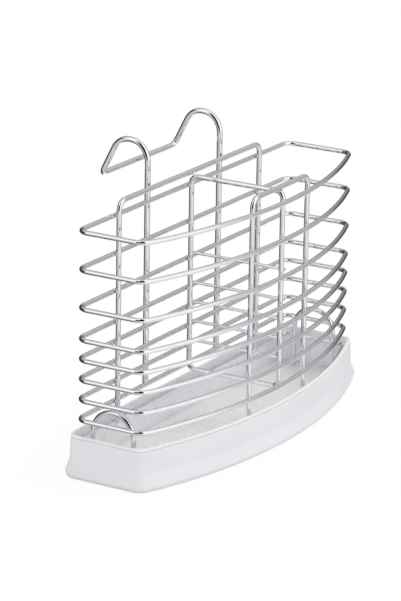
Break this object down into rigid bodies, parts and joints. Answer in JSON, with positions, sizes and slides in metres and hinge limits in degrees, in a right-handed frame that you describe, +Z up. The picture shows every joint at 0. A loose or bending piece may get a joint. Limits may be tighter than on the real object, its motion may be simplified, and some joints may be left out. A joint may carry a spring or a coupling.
{
  "type": "cutlery drainer",
  "caption": "D-shaped chromed wire basket with a divider and rail hooks, standing in a frosted plastic drip tray that it lifts out of.",
  "frame": {"origin": "on the surface that the drip tray stands on, under the middle of the whole object's box, hooks included", "axes": "+X along the straight back from left to right, +Y towards the back, where the hooks are, +Z up; the bowed front faces -Y"},
  "size_m": [0.2654, 0.1161, 0.1887],
  "materials": {
    "frosted_plastic": "frosted, slightly translucent white moulding",
    "chrome_ring": "bright chrome plate on drawn steel wire",
    "chrome_frame": "bright chrome plate on drawn steel wire",
    "chrome_bar": "bright chrome plate on thin steel wire",
    "chrome_hook": "bright chrome plate on heavy steel wire"
  },
  "bodies": {
    "tray": {"drip_tray": "frosted_plastic"},
    "basket": {"ring_1": "chrome_ring", "ring_2": "chrome_ring", "ring_3": "chrome_ring", "ring_4": "chrome_ring", "ring_5": "chrome_ring", "ring_6": "chrome_ring", "ring_7": "chrome_ring", "ring_8": "chrome_ring", "ring_9": "chrome_ring", "back_frame": "chrome_frame", "front_frame": "chrome_frame", "divider_loop": "chrome_frame", "divider_bar_1": "chrome_bar", "divider_bar_2": "chrome_bar", "divider_bar_3": "chrome_bar", "divider_bar_4": "chrome_bar", "divider_bar_5": "chrome_bar", "hook_wire": "chrome_hook", "left_arch": "chrome_ring", "right_arch": "chrome_ring"}
  },
  "joints": [
    {"name": "basket_lift", "type": "slide", "parent": "tray", "child": "basket", "axis": [0, 0, 1], "range_m": [0, 0.05]}
  ]
}
